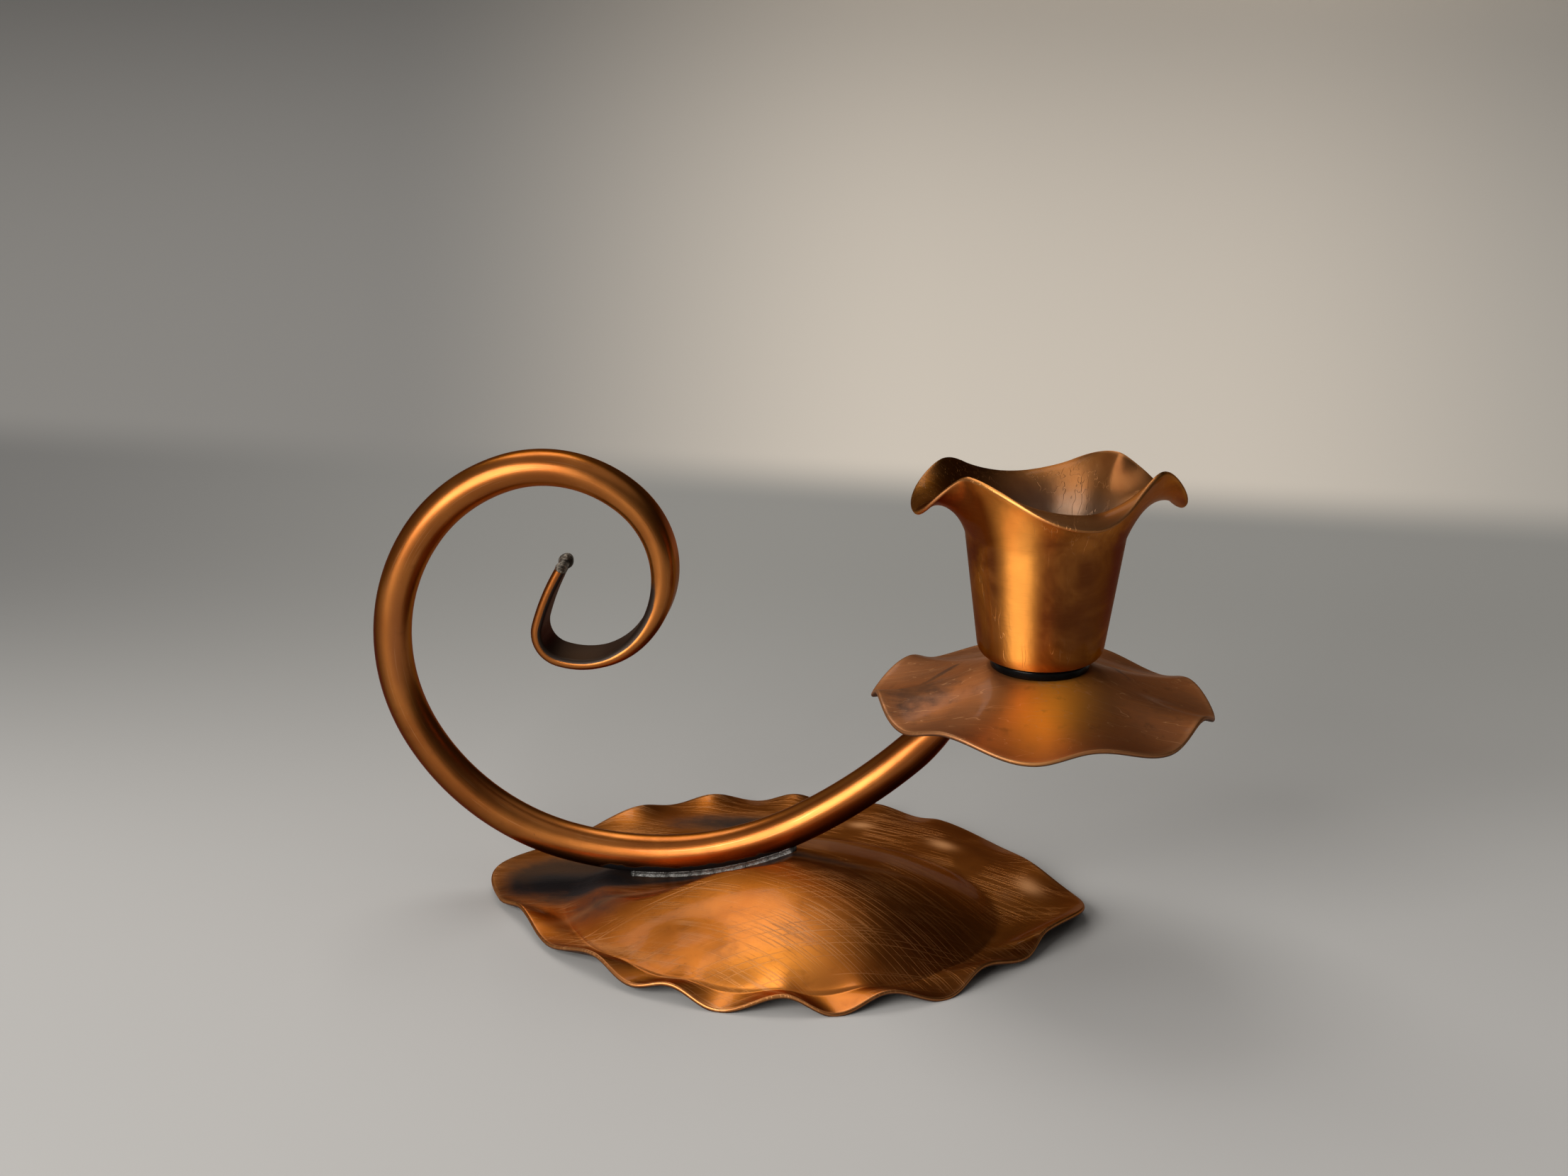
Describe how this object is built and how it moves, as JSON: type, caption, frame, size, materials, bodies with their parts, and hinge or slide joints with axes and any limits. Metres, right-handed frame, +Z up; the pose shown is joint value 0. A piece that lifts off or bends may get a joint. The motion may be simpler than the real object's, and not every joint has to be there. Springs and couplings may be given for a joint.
{
  "type": "scrolled chamber candlestick",
  "caption": "Copper chamber candlestick: ruffled domed base, scrolled tube handle, ruffled drip pan and a flower-shaped cup for a 22 mm candle.",
  "frame": {"origin": "on the floor, at the middle of the object's box", "axes": "+X from the scroll handle towards the candle cup, +Z up along the candle, +Y to the left seen from the handle"},
  "size_m": [0.1725, 0.1118, 0.0998],
  "materials": {
    "base_copper": "satin brushed copper, lacquered, with dark patina",
    "tube_copper": "satin brushed copper, lacquered",
    "pan_copper": "satin copper, lacquered",
    "cup_copper": "satin brushed copper, lacquered",
    "solder": "dull grey solder",
    "black_washer": "glossy black",
    "fastener_brass": "plain"
  },
  "bodies": {
    "root": {"base_plate": "base_copper", "base_solder": "solder", "scroll_arm": "tube_copper", "tip_bead": "solder", "drip_pan": "pan_copper", "cup_washer": "black_washer", "candle_cup": "cup_copper", "cup_screw": "fastener_brass", "cup_nut": "fastener_brass"}
  },
  "joints": []
}
